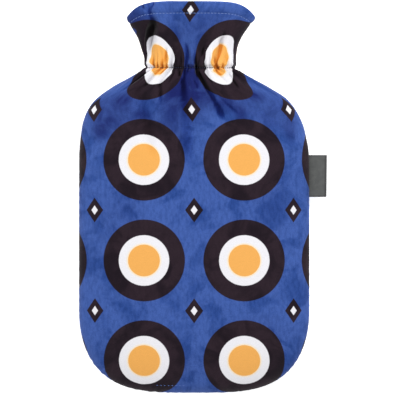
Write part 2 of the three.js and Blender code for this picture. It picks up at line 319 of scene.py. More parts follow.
# %% [markdown]
# ## Creases
# Where a gather starts, and where the collar folds over, the cloth turns more sharply. Such a
# crease is often steeper on one side than on the other, so its row in the table gives a place to
# start and one to end, seen from above, and a width for its left and for its right, looking along
# it.
# %% Creases
FRONT_CREASES = table(
    "x0 y0 x1 y1 left right depth",
    (-36.2, 158, -43.6, 124, 2.6, 9.0, 4.2), (-48.5, 176, -43.5, 166, 2.6, 1.8, 2.6),
    (-35.5, 180, -38.0, 167, 1.8, 2.8, 2.6), (25.5, 146, 21.2, 117, 2.4, 3.6, 2.8),
    (0.5, 115, 21.0, 82, 4.2, 2.6, 2.8), (-3.5, 115, 4.5, 94, 2.0, 2.6, 1.8),
    (-29.5, 110, -30.5, 76, 4.0, 4.0, 1.2), (14, 97, 46, 70, 6.0, 4.0, 1.8),
    (-14, 116, -9, 94, 2.2, 2.2, 1.5), (9, 136, 4, 118, 2.6, 2.2, 1.8),
    (-24, 136, -27, 118, 2.6, 2.6, 1.6), (30, 113, 42, 96, 2.6, 3.0, 1.9),
    (-34, 113, -46, 96, 3.0, 2.6, 1.5), (-8, 140, -3, 119, 2.4, 2.8, 1.4),
)
BACK_CREASES = table(
    "x0 y0 x1 y1 left right depth",
    (-26, 114, -40, 84, 3.4, 4.0, 1.6), (6, 114, 2, 82, 4.0, 3.0, 1.4),
    (24, 142, 20, 119, 3.0, 3.4, 1.8), (-30, 150, -33, 120, 4.0, 5.0, 2.0),
)


def crease_depth(creases, x, y):
    """Depth of the creases: a narrow valley with a rounded bottom that tapers to both ends."""
    depth = np.zeros_like(x)
    for row in rows_of(creases):
        along, off, _, length = along_line(x, y, row)
        side = np.abs(off) / np.where(off > 0, row["right"], row["left"])
        valley = np.clip(1.1 - np.sqrt(side**2 + 0.01), 0, 1) ** 1.6
        taper = smoothstep(along / (0.3 * length)) * smoothstep((length - along) / (0.5 * length))
        depth += row["depth"] * valley * taper
    return depth


print(len(FRONT_CREASES["x0"]), "creases in the front and", len(BACK_CREASES["x0"]), "in the back")

# %% [markdown]
# ## Sewn edges, hem and slack
# Three things give sewn velour away at its edges. The cloth rolls into each seam, so a seam is a
# groove and not a butt joint. It puckers a little along the seam, most of all at the lower left. And
# the hem is two layers thick, stands slightly proud above its stitching and has a rounded nose. The
# body of the panel isn't quite even either: three long shallow waves stand for the slack.
# %% Relief of a panel
CLOTH, HEM_CLOTH = 2.0, 3.8  # one layer with its pile, and the turned hem
HEM_DEPTH, STITCHING_DEPTH = 12.5, 10.8  # rim to the turned edge inside, and to the stitching
STITCHING_Y = RIM_Y - STITCHING_DEPTH
INNER_GATHERS, INNER_FINE = 0.6, 0.4  # how much of each kind of fold the inner face follows
HEM_PROUD = 0.5  # how far the hem stands above the cloth below it
STITCHING_GROOVE, ELASTIC_GROOVE = (0.45, 1.5), (1.7, 3.8)  # depth and half-width
# Waves of slack across the panel: direction in degrees, length from crest to crest, height, shift.
SLACK = table("turn length height shift", (24, 96, 0.28, 0.4), (-37, 71, 0.2, 2.1), (82, 118, 0.26, 4.0))


def slack_height(x, y):
    """Height of the waves of slack at each place in plan."""
    height = np.zeros_like(x)
    for row in rows_of(SLACK):
        turn = math.radians(row["turn"])
        across = (x * math.cos(turn) + y * math.sin(turn)) / row["length"]
        height += row["height"] * np.sin(2 * math.pi * across + row["shift"])
    return height


def groove(y, middle_y, depth, half):
    """Depth of a row of stitches that is pulled into the cloth all across the panel."""
    return depth * bump((y - middle_y) / half)


def seam_puckers(x, y, edge):
    """Small waves along the sides and the bottom, strongest at the lower left."""
    along = y + np.abs(x) + 4 * np.sin(y / 17) + 3 * np.sin(x / 7)
    lower_left = bump((x + 58) / 60) * smoothstep((-120 - y) / 40)
    size = (0.12 + 0.16 * lower_left) * smoothstep((108 - y) / 20) * (0.6 + 0.4 * np.sin(along / 13))
    wave = np.sin(2 * math.pi * along / 9.4) + 0.6 * np.sin(2 * math.pi * along / 5.7 + 1)
    return size * wave * smoothstep((edge - 0.62) / 0.38)


def relief(panel, u, y):
    """Height of the outer and of the inner face above the smooth cloth; the inner one is calmer."""
    x, place_y, edge = plan_at(u, y)
    arch = np.sqrt(1 - edge)
    gathers = fold_height(panel["gathers"], u, y)
    fine = fold_height(panel["puckers"], u, y, sharpness=1.6) + fold_height(panel["ticks"], u, y)
    fine -= crease_depth(panel["creases"], x, place_y) * smoothstep(arch * 1.6)
    fine += slack_height(x, place_y) * smoothstep(arch * 1.4) * smoothstep((160 - y) / 60)
    fine += seam_puckers(x, place_y, edge)
    fine -= groove(y, ELASTIC_Y, *ELASTIC_GROOVE)
    hem = HEM_PROUD * bump((y - (STITCHING_Y + RIM_Y) / 2) / (STITCHING_DEPTH / 2 + 1))
    hem -= groove(y, STITCHING_Y, *STITCHING_GROOVE)
    return gathers + fine + hem, INNER_GATHERS * gathers + INNER_FINE * fine


print(f"Hem {HEM_DEPTH} mm deep, stitched {STITCHING_DEPTH} mm below the rim")

# %% [markdown]
# ## The way that the cloth faces
# Folds and thickness are both laid off square to the smooth cloth. Its direction could be worked
# out from the tables, but that is long, and it is wrong as soon as a table changes. Here it is
# measured: one small step across the cloth and one along it, and the direction square to both. At
# the sewn edges the cloth faces straight out, level with the floor, so that both panels meet edge
# to edge.
# %% Facing
NUDGE = 1e-3  # the step, as a share of a panel, over which a slope is measured


def cloth_normal(panel, u, y):
    """The direction that the outer face looks in."""
    surface = panel["surface"]
    across = surface(np.minimum(u + NUDGE, 1), y) - surface(np.maximum(u - NUDGE, -1), y)
    above, below = np.minimum(y + NUDGE * LENGTH, RIM_Y), np.maximum(y - NUDGE * LENGTH, BOTTOM_Y)
    along = surface(u, above) - surface(u, below)
    normal = panel["outward"] * np.cross(across, along)
    level = np.zeros(u.shape)
    for where, edge in ((u == 1, along), (u == -1, -along), (y == BOTTOM_Y, across)):
        out = np.stack([edge[..., 1], -edge[..., 0], level], axis=-1)
        normal = np.where(where[..., None], out, normal)
    return normal / np.linalg.norm(normal, axis=-1, keepdims=True)


print(f"Slopes are measured over {2 * NUDGE * LENGTH:.1f} mm along the cover")

# %% [markdown]
# ## From a place on the cut to a point in space
# cloth_points puts the parts together. The relief lifts the outer face off the smooth surface, the
# way that the cloth faces, and the inner face lies a cloth's thickness behind it. Then the rim is
# rounded over, the edges are rolled into the seams, and the underside is kept above the floor.
# %% Points of the cloth
SEAM_ROLL = 1.3  # radius with which the cloth rolls into a seam
NOSE, SMALLEST_TURN = HEM_CLOTH / 2, 0.01  # radius of the rim, and where its rounding ends
HEM_STEP = 0.9  # height over which the cloth thickens into the hem
SQUEEZE, PRESSED = 0.3, 0.8  # shares of a layer that a deep fold may lose and the underside keeps


def cloth_points(panel, u, y):
    """Outer points, inner points and facing directions, in millimetres."""
    u, y = np.broadcast_arrays(np.asarray(u, float), np.asarray(y, float))
    base, normal = panel["surface"](u, y), cloth_normal(panel, u, y)
    outer_height, inner_height = relief(panel, u, y)
    hem = smoothstep((y - (RIM_Y - HEM_DEPTH)) / HEM_STEP)
    thickness = CLOTH + (HEM_CLOTH - CLOTH) * hem
    inner_height = np.minimum(inner_height, outer_height + SQUEEZE * CLOTH)
    to_rim = np.clip(RIM_Y - y, SMALLEST_TURN, NOSE)
    turn = NOSE - np.sqrt(NOSE**2 - (NOSE - to_rim) ** 2)
    outer = base + normal * (outer_height - turn)[..., None]
    inner = base + normal * (inner_height - thickness + turn)[..., None]
    to_seam = np.clip(np.abs(base[..., 2] - value_at(FORM, "seam", y)), SEAM_GAP / 2, SEAM_ROLL)
    roll = SEAM_ROLL - np.sqrt(SEAM_ROLL**2 - (SEAM_ROLL - to_seam) ** 2)
    level = normal * np.array([1, 1, 0])
    level /= np.maximum(np.linalg.norm(level, axis=-1, keepdims=True), 0.2)
    outer = outer - level * roll[..., None]
    if panel["outward"] < 0:
        outer[..., 2] = rest_on_floor(outer[..., 2])
        kept_apart = PRESSED * CLOTH * np.abs(normal[..., 2])
        inner[..., 2] = np.maximum(inner[..., 2], outer[..., 2] + kept_apart)
    return outer, inner, normal


FRONT = {
    "surface": front_surface, "outward": 1, "troughs": FRONT_TROUGHS,
    "gathers": FRONT_GATHERS, "creases": FRONT_CREASES,
    "puckers": shirring(count=20, seed=3, spans=PUCKERS),
    "ticks": shirring(count=22, seed=5, spans=TICKS),
}
BACK = {
    "surface": back_surface, "outward": -1, "troughs": NO_TROUGHS,
    "gathers": BACK_GATHERS, "creases": BACK_CREASES,
    "puckers": shirring(count=19, seed=8, spans=PUCKERS),
    "ticks": shirring(count=21, seed=6, spans=TICKS),
}
crown = cloth_points(FRONT, 0.0, 0.0)[0]
print(f"Crown of the front {crown[2]:.1f} mm above the floor, slack and all")

# %% [markdown]
# ## Columns and rows
# The sheet is a grid. Even spacing would waste faces on the calm middle and still miss the groove
# at the seams, the puckers and the nose of the rim, so columns crowd towards the seams, and rows
# are shared out by stretches of the length, the lowest of them crowded towards the bottom edge.
# %% Grid of a panel
COLUMNS = 180
COLUMN_U = np.sin(np.linspace(-1, 1, COLUMNS + 1) * math.pi / 2)
NOSE_Y, NOSE_ROWS = RIM_Y - NOSE, 7  # where the rim starts to round over, and in how many rows
# From and to in millimetres, number of rows, and the power with which they crowd towards the start;
# 1 spreads them evenly.
STRETCHES = table(
    "start end count crowding",
    (BOTTOM_Y, -148, 36, 2), (-148, 56, 88, 1), (56, 104, 40, 1), (104, 128, 40, 1),
    (128, 160, 22, 1), (160, 168, 12, 1), (168, NOSE_Y, 5, 1),
)


def row_heights():
    """The heights of all rows, from the bottom edge to the rim."""
    heights = [np.array([BOTTOM_Y])]
    for row in rows_of(STRETCHES):
        share = np.arange(1, row["count"] + 1) / row["count"]
        heights.append(row["start"] + (row["end"] - row["start"]) * share ** row["crowding"])
    turn = np.arange(1, NOSE_ROWS + 1) / NOSE_ROWS * math.pi / 2
    heights.append(NOSE_Y + NOSE * np.sin(turn))
    return np.concatenate(heights)


ROW_Y = row_heights()
ROW_Y[-1] = RIM_Y
ROWS = len(ROW_Y) - 1
print(f"{COLUMNS} columns and {ROWS} rows, {COLUMNS * ROWS * 2 + (COLUMNS + ROWS) * 2} faces in each panel")

# %% [markdown]
# ## The flat cut
# The print was on the cloth before it was sewn, so it has to run over the gathers and be squeezed
# by them. A projection from above would slide straight over every fold. The panel is therefore
# unrolled: starting at its middle column, each step along a row adds the real length of the cloth
# between two columns, so a step down the side of a fold takes more print than a step on its crest.
# The elastic gathers in more cloth than the grid can show, so each row is then stretched to the
# width that it was cut to, which changes gently along the cover. The result is the panel's flat
# cut, and it becomes the UV map, in metres.
# %% Unroll a panel
FULLNESS = 0.64  # share of extra cloth that the elastic gathers in
FULL_DOWN, FULL_UP = 44, 62  # how far below and above the elastic the cloth is still full


def flat_cut(panel, outer):
    """Flat place of each grid point in metres, across and along the cut."""
    base = panel["surface"](*np.meshgrid(COLUMN_U, ROW_Y))
    smooth_steps = np.linalg.norm(np.diff(base, axis=1), axis=-1)
    steps = (np.linalg.norm(np.diff(outer, axis=1), axis=-1) + smooth_steps) / 2
    below, above = bump((ROW_Y - ELASTIC_Y) / FULL_DOWN) ** 2, bump((ROW_Y - ELASTIC_Y) / FULL_UP)
    width = smooth_steps.sum(axis=1) * (1 + FULLNESS * np.where(ROW_Y < ELASTIC_Y, below, above))
    steps *= (width / steps.sum(axis=1))[:, None]
    plan = np.diff(base[..., :2], axis=1)
    plan /= np.linalg.norm(plan, axis=-1, keepdims=True)
    middle = COLUMNS // 2
    along = np.concatenate([[0], np.cumsum(np.linalg.norm(np.diff(base[:, middle], axis=0), axis=-1))])
    along -= np.interp(0, ROW_Y, along)
    start = np.zeros((len(ROW_Y), 1, 2))
    walked = np.concatenate([start, np.cumsum(plan * steps[..., None], axis=1)], axis=1)
    flat = walked - walked[:, middle : middle + 1]
    flat[..., 1] += along[:, None]
    return flat * MM


def flat_area(flat):
    """Area of the flat cut in square metres."""
    a, b = flat[1:, 1:] - flat[:-1, :-1], flat[1:, :-1] - flat[:-1, 1:]
    return float(np.abs(a[..., 0] * b[..., 1] - a[..., 1] * b[..., 0]).sum() / 2)


print(f"At the elastic the cloth was cut {FULLNESS:.0%} wider than its smooth surface is")

# %% [markdown]
# ## How deep in a fold
# Light that reaches the bottom of a fold has bounced from thread to thread on its way, so the cloth
# there looks deeper in colour and not just darker. A renderer follows only a few of those bounces
# and knows nothing of the pile. The velour therefore gets one number for each place, hollow, which
# says how far it lies below the cloth to its left and right, and paints shade into its colour from
# it. It is measured twice, over a few columns for the puckers and over many for the long troughs.
# The line where the elastic's stitches pinch the pile is added to them, so it gets painted shade too.
# %% Measure the hollows
NARROW, BROAD = (5, 1.1), (15, 4.6)  # columns to each side, and the depth that counts as 1
# The pinched line along the elastic's stitching counts as hollow, so it gets painted shade.
PINCHED_LINE_SHADE = (0.6, 2.0)  # how hollow it counts, and its half-width
FLAT_MARGIN = 0.05  # how far from the seams nothing counts as hollow, as a share of the way out


def below_neighbours(heights, reach):
    """How far each place lies below the mean of its row around it."""
    padded = np.pad(heights, ((0, 0), (reach, reach)), mode="edge")
    windows = [padded[:, start : start + heights.shape[1]] for start in range(2 * reach + 1)]
    return np.mean(windows, axis=0) - heights


def hollow_places(panel):
    """0 on the open cloth and 1 deep in a fold, for each place of the grid."""
    u, y = np.meshgrid(COLUMN_U, ROW_Y)
    x, place_y, _ = plan_at(u, y)
    heights = relief(panel, u, y)[0] - trough_depth(panel["troughs"], x, place_y)
    narrow, broad = [below_neighbours(heights, reach) / depth for reach, depth in (NARROW, BROAD)]
    deepest = np.maximum(np.maximum(narrow, broad), groove(y, ELASTIC_Y, *PINCHED_LINE_SHADE))
    return smoothstep(deepest) * smoothstep((1 - np.abs(u)) / FLAT_MARGIN)


print(f"{(hollow_places(FRONT) > 0.5).mean():.1%} of the front's grid lies in a fold")

# %% [markdown]
# ## From a bmesh to an object
# A bmesh is a shape in the making: operators create it, extrude it and move it, and at the end it
# is written into a mesh, which an object then shows. Some operators list their faces in another
# order on each run, so mesh_from sorts them, and the file gives the same mesh every time.
# %% Mesh tools
def in_fixed_order(shape):
    """Sorts the faces of a bmesh by the numbers of their corners."""
    shape.verts.index_update()
    count = len(shape.verts)

    def place(face):
        first, second, *_, last = sorted(corner.index for corner in face.verts)
        return (first * count + second) * count + last

    shape.faces.sort(key=place)


def mesh_from(name, shape):
    """A smooth shaded mesh from a bmesh, which is freed."""
    in_fixed_order(shape)
    mesh = bpy.data.meshes.new(name)
    shape.to_mesh(mesh)
    shape.free()
    mesh.polygons.foreach_set("use_smooth", np.ones(len(mesh.polygons), bool))
    return mesh


def new_object(name, data):
    """An object in the scene."""
    made = bpy.data.objects.new(name, data)
    bpy.context.scene.collection.objects.link(made)
    return made


# %% [markdown]
# ## From a flat slab to a sheet of cloth
# A flat grid is extruded once, which gives a closed slab with a top and a bottom face and a narrow
# edge all round. Each vertex remembers its column, row and layer by where it stands in that slab,
# and is then moved to its place in the cloth. Because the slab is closed before it is bent, the
# sheet has no holes and its two faces can't come apart. The label will use the same slab.
# %% Slab tools
def flat_slab(name, columns, rows):
    """The mesh of a closed slab of one grid, and the column, row and layer of each vertex."""
    slab = bmesh.new()
    bmesh.ops.create_grid(slab, x_segments=columns, y_segments=rows, size=0.5)
    made = bmesh.ops.extrude_face_region(slab, geom=slab.faces[:], use_keep_orig=True)
    moved = [v for v in made["geom"] if isinstance(v, bmesh.types.BMVert)]
    bmesh.ops.translate(slab, vec=(0, 0, 1), verts=moved)
    bmesh.ops.recalc_face_normals(slab, faces=slab.faces[:])
    mesh = mesh_from(name, slab)
    points = np.empty(len(mesh.vertices) * 3)
    mesh.vertices.foreach_get("co", points)
    points = points.reshape(-1, 3)
    column = np.rint((points[:, 0] + 0.5) * columns).astype(int)
    row = np.rint((points[:, 1] + 0.5) * rows).astype(int)
    return mesh, column, row, np.rint(points[:, 2]).astype(int)


def set_points(mesh, points):
    """Moves each vertex to its point."""
    mesh.vertices.foreach_set("co", np.ascontiguousarray(points, dtype=np.float32).ravel())
    mesh.update()


def set_uv(mesh, uv):
    """Writes one flat place for each corner of each face."""
    layer = mesh.uv_layers.new(name="flat_cut")
    layer.data.foreach_set("uv", np.ascontiguousarray(uv, dtype=np.float32).ravel())


def corner_faces(mesh):
    """For each face corner, its vertex and its face."""
    vertex = np.empty(len(mesh.loops), np.int32)
    mesh.loops.foreach_get("vertex_index", vertex)
    sizes = np.empty(len(mesh.polygons), np.int32)
    mesh.polygons.foreach_get("loop_total", sizes)
    return vertex, np.repeat(np.arange(len(sizes)), sizes)


# %% [markdown]
# ## Two panels
# Outside, a panel shows its velour. Inside, the knitted backing shows, except where the hem is
# turned in. The two kinds of face could be two meshes, but then the sheet wouldn't be closed, so
# they get two material slots of one mesh, and inside the hem the flat cut simply runs on past the
# rim. The back is cut from a stretch of cloth a little lower in the print, so the same roundel sits
# a little higher on it.
# %% Lay the two panels
BACK_SHIFT = -7  # how much further along the print the back is cut than the front
BACKING_TOP = RIM_Y - HEM_DEPTH + 0.4  # where the turned hem covers the backing


def lay_panel(name, panel, print_shift=0):
    """One panel of velour as a closed sheet, with its flat cut and its two kinds of face."""
    mesh, column, row, layer = flat_slab(name, COLUMNS, ROWS)
    outer, inner, _ = cloth_points(panel, *np.meshgrid(COLUMN_U, ROW_Y))
    is_outer = (layer == 1) == (panel["outward"] > 0)
    set_points(mesh, np.where(is_outer[:, None], outer[row, column], inner[row, column]) * MM)
    vertex, face = corner_faces(mesh)
    inner_face = np.bincount(face, ~is_outer[vertex]) == 4
    below_hem = np.bincount(face, ROW_Y[row[vertex]]) / 4 < BACKING_TOP
    mesh.polygons.foreach_set("material_index", (inner_face & below_hem).astype(np.int32))
    flat = flat_cut(panel, outer)
    uv = flat[row[vertex], column[vertex]]
    turned = (inner_face & ~below_hem)[face]
    uv[turned, 1] = 2 * flat[-1, column[vertex[turned]], 1] - uv[turned, 1]
    set_uv(mesh, uv + (0, print_shift * MM))
    # How deep in a fold; the velour paints shade into its colour from it.
    hollow = mesh.attributes.new("hollow", "FLOAT", "POINT")
    hollow.data.foreach_set("value", hollow_places(panel)[row, column].astype(np.float32))
    size = np.ptp(flat[..., 0]), np.ptp(flat[..., 1])
    print(f"{name}: flat cut {size[0] / MM:.0f} by {size[1] / MM:.0f} mm, {flat_area(flat):.4f} m2")
    return new_object(name, mesh), size, flat_area(flat)


front_velour, front_size, front_area = lay_panel("front_panel_velour", FRONT)
back_velour, back_size, back_area = lay_panel("back_panel_velour", BACK, BACK_SHIFT)

# %% [markdown]
# ## Stitches
# Machine stitches are short lengths of thread that dive into the pile at both ends. Modelling one
# and copying it with an array modifier would make them all stand on one straight line; here each
# stitch is a small spindle between two places measured along the folded cloth, so a row of them
# follows every pucker. There are only about two hundred, so each can have real ends.
# %% Stitch rows
SPINDLE_SIDES, FLATNESS, PROUD = 6, 0.8, 0.12  # of a stitch, with the lift of its middle
WALK_STEPS = 1600  # places at which a row is measured


def stitch_matrix(run, middle, up, radius):
    """Turns a unit ball into a spindle as long as run, lying on the cloth around its middle."""
    side = run.normalized().cross(up).normalized()
    up = side.cross(run.normalized())
    placed = Matrix((side * radius, up * radius * FLATNESS, run / 2)).transposed().to_4x4()
    placed.translation = middle + up * PROUD
    return placed


def stitch_row(name, panel, y, reach, spacing, length, radius):
    """A row of stitches on the outer face at height y, from u = reach[0] to reach[1]."""
    u = np.linspace(*reach, WALK_STEPS)
    outer, _, normal = cloth_points(panel, u, np.full_like(u, y))
    walked = np.concatenate([[0], np.cumsum(np.linalg.norm(np.diff(outer, axis=0), axis=1))])

    def after(distance, values):
        """The values that the cloth has after a distance along the row."""
        return Vector([np.interp(distance, walked, values[:, k]) for k in range(3)])

    row = bmesh.new()
    starts = np.arange(0, walked[-1] - length, spacing)
    for start in starts:
        run = after(start + length, outer) - after(start, outer)
        middle, up = [after(start + length / 2, values) for values in (outer, normal)]
        matrix = stitch_matrix(run, middle, up.normalized(), radius)
        bmesh.ops.create_uvsphere(
            row, u_segments=SPINDLE_SIDES, v_segments=SPINDLE_SIDES, radius=1, matrix=matrix
        )
    bmesh.ops.scale(row, vec=(MM, MM, MM), verts=row.verts[:])
    bmesh.ops.recalc_face_normals(row, faces=row.faces[:])
    print(f"{name}: {len(starts)} stitches over {walked[-1]:.0f} mm of cloth")
    return new_object(name, mesh_from(name, row))


hem_sewing = {"y": STITCHING_Y, "reach": (-0.975, 0.975), "spacing": 3.1, "length": 2.5, "radius": 0.26}
elastic_sewing = {"y": ELASTIC_Y, "reach": (-SHIRRED, SHIRRED), "spacing": 2.3, "length": 1.7, "radius": 0.3}
front_hem = stitch_row("front_hem_stitches", FRONT, **hem_sewing)
back_hem = stitch_row("back_hem_stitches", BACK, **hem_sewing)
front_shirr = stitch_row("front_elastic_stitches", FRONT, **elastic_sewing)
back_shirr = stitch_row("back_elastic_stitches", BACK, **elastic_sewing)

# %% [markdown]
# ## The closed gap
# The cover was turned through a gap in the bottom seam, and that gap is closed from outside with a
# short run of small stitches near the edge. It is one more row, from one place in plan to another.
# %% Closing stitches
CLOSING_Y, CLOSING_FROM, CLOSING_TO = -168.3, -34, -6.5
half_row = float(seam_distance("left", CLOSING_Y + row_lift(CLOSING_Y)))
closing_reach = (CLOSING_FROM / half_row, CLOSING_TO / half_row)
closing = stitch_row(
    "closing_stitches", FRONT, CLOSING_Y, closing_reach, spacing=3.4, length=1.7, radius=0.24
)

# %% [markdown]
# ## The label
# The label is a short length of woven ribbon, folded in two with the fold outwards. It could be a
# flat plate, but then it would have no fold and no two layers to catch the light. It is a slab as
# the panels are, with its columns led out from the seam, round the fold and back again. The ribbon
# is pinched flat where the seam holds it, a little fuller towards the fold, and cut a hair askew.
# %% Places on the ribbon loop
RIBBON = 0.42  # thickness of one layer
LABEL_Y, LABEL_HEIGHT, LABEL_REACH = 19.6, 37.8, 15.6
FOLD_RADIUS = 0.62  # of the ribbon's middle at the fold
CAUGHT = 0.6  # how far the seam holds it
ASKEW, PINCHED, SWAY = 0.8, 0.42, 0.35  # of its end, of its loop at the seam, and up and down
seam_x = float(seam_distance("right", LABEL_Y - LABEL_HEIGHT / 2)) + SEAM_GAP
straight = LABEL_REACH - FOLD_RADIUS - RIBBON / 2 + CAUGHT
turn_length = math.pi * FOLD_RADIUS
ribbon_length = 2 * straight + turn_length


def ribbon_points(s, w, layer):
    """Points of the ribbon, s along it from the lower end and w along the seam from 0 to 1."""
    half = straight - ASKEW * (1 - w) / 2
    s = s * (2 * half + turn_length) / ribbon_length
    turn = np.clip((s - half) / FOLD_RADIUS, 0, math.pi)
    out = np.minimum(s, half) - np.clip(s - half - turn_length, 0, None)
    fullness = PINCHED + (1 - PINCHED) * smoothstep(out / 5)
    offset = (layer - 0.5) * RIBBON
    y = LABEL_Y + LABEL_HEIGHT * (w - 0.5) + 0 * s
    drawn_in = (seam_distance("right", y) + SEAM_GAP - seam_x) * (1 - smoothstep(out / 8))
    x = seam_x + drawn_in - CAUGHT + out + (FOLD_RADIUS + offset) * np.sin(turn)
    z = -(FOLD_RADIUS * fullness + offset) * np.cos(turn)
    sway = SWAY * np.sin(w * 4.2 + 0.6) * smoothstep(out / 14)
    return np.stack([x, y, value_at(FORM, "seam", y) + z + sway], axis=-1)


print(f"Ribbon {LABEL_HEIGHT:.1f} mm wide and {ribbon_length:.1f} mm long, folded in two")

# %% [markdown]
# ## Lay the ribbon
# The turn at the fold is tight, so a third of the columns go into it. The ribbon's own flat cut is
# simply its length and its width. Leading the slab round the fold turns it inside out, so the
# normals are worked out again.
# %% Lay the ribbon
END_COLUMNS, TURN_COLUMNS, LABEL_ROWS = 20, 20, 30


def lay_ribbon(name):
    """The folded ribbon as a closed sheet, with its flat cut."""
    mesh, column, row, layer = flat_slab(name, 2 * END_COLUMNS + TURN_COLUMNS, LABEL_ROWS)
    ends = np.linspace(0, straight, END_COLUMNS, endpoint=False)
    fold = np.linspace(straight, straight + turn_length, TURN_COLUMNS + 1)
    stations = np.concatenate([ends, fold, ribbon_length - ends[::-1]])
    s, w = stations[column], row / LABEL_ROWS
    vertex, _ = corner_faces(mesh)
    set_uv(mesh, np.stack([s, w * LABEL_HEIGHT], axis=-1)[vertex] * MM)
    set_points(mesh, ribbon_points(s, w, 1 - layer) * MM)
    turned = bmesh.new()
    turned.from_mesh(mesh)
    bmesh.ops.recalc_face_normals(turned, faces=turned.faces[:])
    turned.to_mesh(mesh)
    turned.free()
    return new_object(name, mesh)


label = lay_ribbon("side_label_ribbon")
print(label.name, "has", len(label.data.polygons), "faces")

# %% [markdown]
# ## Building materials in code
# Blender's node editor is a drawing; in a script the same drawing is a list of nodes and links.
# These helpers keep that list short. A value given to a node may be a plain number or the output of
# another node, and then it is linked. Colours are written as they look on a screen and turned into
# the linear light that a shader works with.
# %% Node helpers
def linear(code):
    """A screen colour such as 3D5CA8 as linear light."""
    parts = [int(code[i : i + 2], 16) / 255 for i in (0, 2, 4)]
    return tuple(p / 12.92 if p <= 0.04045 else ((p + 0.055) / 1.055) ** 2.4 for p in parts) + (1.0,)


def put(tree, kind, inputs=None, **settings):
    """A new node with its settings, and its inputs set or linked."""
    made = tree.nodes.new(kind)
    for key, value in settings.items():
        setattr(made, key, value)
    for key, value in (inputs or {}).items():
        if isinstance(value, bpy.types.NodeSocket):
            tree.links.new(value, made.inputs[key])
        else:
            made.inputs[key].default_value = value
    return made


def calc(tree, operation, *values):
    """The output of a Math node."""
    return put(tree, "ShaderNodeMath", dict(enumerate(values)), operation=operation).outputs[0]


def vector_calc(tree, operation, *values):
    """The output of a Vector Math node."""
    return put(tree, "ShaderNodeVectorMath", dict(enumerate(values)), operation=operation).outputs[0]


def ramp(tree, value, start, end, low=0.0, high=1.0):
    """A soft step of value from low at start to high at end."""
    settings = {"Value": value, "From Min": start, "From Max": end, "To Min": low, "To Max": high}
    return put(tree, "ShaderNodeMapRange", settings, interpolation_type="SMOOTHSTEP").outputs[0]


def blend_colours(tree, share, first, second, mode="MIX"):
    """The colour between two, or one laid over the other."""
    made = put(tree, "ShaderNodeMix", {0: share, 6: first, 7: second}, data_type="RGBA", blend_type=mode)
    return made.outputs[2]


print("A mid blue as linear light:", [round(part, 3) for part in linear("3D5CA8")[:3]])

# %% [markdown]
# ## Groups of nodes
# A pattern that several materials use is made once, as a group with named inputs and outputs. A
# group here puts out only masks and values, and each material turns them into its own colours.
# %% Group helpers
FLOAT, VECTOR = "NodeSocketFloat", "NodeSocketVector"


def new_group(name, inputs, outputs):
    """An empty node group with named inputs and outputs, its input node and its output node."""
    group = bpy.data.node_groups.new(name, "ShaderNodeTree")
    for socket_name, kind, value in inputs:
        socket = group.interface.new_socket(socket_name, in_out="INPUT", socket_type=kind)
        if value is not None:
            socket.default_value = value
    for socket_name, kind in outputs:
        group.interface.new_socket(socket_name, in_out="OUTPUT", socket_type=kind)
    return group, group.nodes.new("NodeGroupInput").outputs, group.nodes.new("NodeGroupOutput").inputs


def use_group(tree, group, **inputs):
    """A group placed in a tree, with its inputs set or linked."""
    made = tree.nodes.new("ShaderNodeGroup")
    made.node_tree = group
    for key, value in inputs.items():
        socket = made.inputs[key.replace("_", " ")]
        if isinstance(value, bpy.types.NodeSocket):
            tree.links.new(value, socket)
        else:
            socket.default_value = value
    return made.outputs


# %% [markdown]
# ## The print
# The print is a plain all-over repeat: roundels on a straight grid, each a dark disc with a light
# ring and an orange middle, and a small lozenge wherever four roundels leave room. It is drawn with
# arithmetic on the flat cut and not painted, so it stays sharp at any size. Dye bleeds a little
# into the pile, so a faint noise pushes the place about before it is measured, and the edge of the
# orange is softer than the others. Both the velour and, faintly, its backing show the print, so it
# is a node group that puts out one mask for each colour.
# %% Print group
PITCH = (89.6, 90)
FIRST_ROUNDEL = (-44.8, 124)
FAR_OUT = 100.5  # 100 repeats keep every place above 0, and the half is taken off again later
BLEED_SCALE = 900  # of the noise, for each metre
# For each mask of a roundel, the radius where its colour ends and the one where it is full.
RADII = {"Dark": (36.9, 36.2), "Light": (22.9, 22.2), "Orange": (14.5, 13.9), "Halo": (16.4, 14.0)}
LOZENGE = (8.0, 11.0)  # half its width and half its length
LOZENGE_SHARES = {"Dark": (1.04, 0.98), "Light": (0.42, 0.34)}


def print_group():
    """The masks of the print at a place on the flat cut."""
    group, given, out = new_group(
        "roundel_print", [("Place", VECTOR, None), ("Bleed", FLOAT, 0.35)], [(name, FLOAT) for name in RADII]
    )
    noise = put(group, "ShaderNodeTexNoise", {"Vector": given["Place"], "Scale": BLEED_SCALE, "Detail": 2})
    push = vector_calc(group, "SUBTRACT", noise.outputs["Color"], (0.5, 0.5, 0.5))
    push = put(group, "ShaderNodeVectorMath", {0: push, "Scale": given["Bleed"]}, operation="SCALE")
    place = vector_calc(group, "MULTIPLY", given["Place"], (1 / MM, 1 / MM, 0))
    place = vector_calc(group, "ADD", place, push.outputs[0])
    split = put(group, "ShaderNodeSeparateXYZ", {0: place}).outputs

    def repeat(axis, shift):
        """Distance from the middle of the nearest repeat along one axis."""
        offset = calc(group, "ADD", split[axis], PITCH[axis] * FAR_OUT - FIRST_ROUNDEL[axis] - shift)
        return calc(group, "SUBTRACT", calc(group, "MODULO", offset, PITCH[axis]), PITCH[axis] / 2)

    squares = [calc(group, "POWER", repeat(axis, 0), 2) for axis in (0, 1)]
    radius = calc(group, "SQRT", calc(group, "ADD", *squares))
    corner = [calc(group, "ABSOLUTE", repeat(axis, PITCH[axis] / 2)) for axis in (0, 1)]
    shares = [calc(group, "DIVIDE", corner[axis], LOZENGE[axis]) for axis in (0, 1)]
    lozenge = calc(group, "ADD", *shares)
    for name, radii in RADII.items():
        mask = ramp(group, radius, *radii)
        if name in LOZENGE_SHARES:
            mask = calc(group, "MAXIMUM", mask, ramp(group, lozenge, *LOZENGE_SHARES[name]))
        group.links.new(mask, out[name])
    return group


roundel_print = print_group()
print("Print repeat", PITCH, "mm")

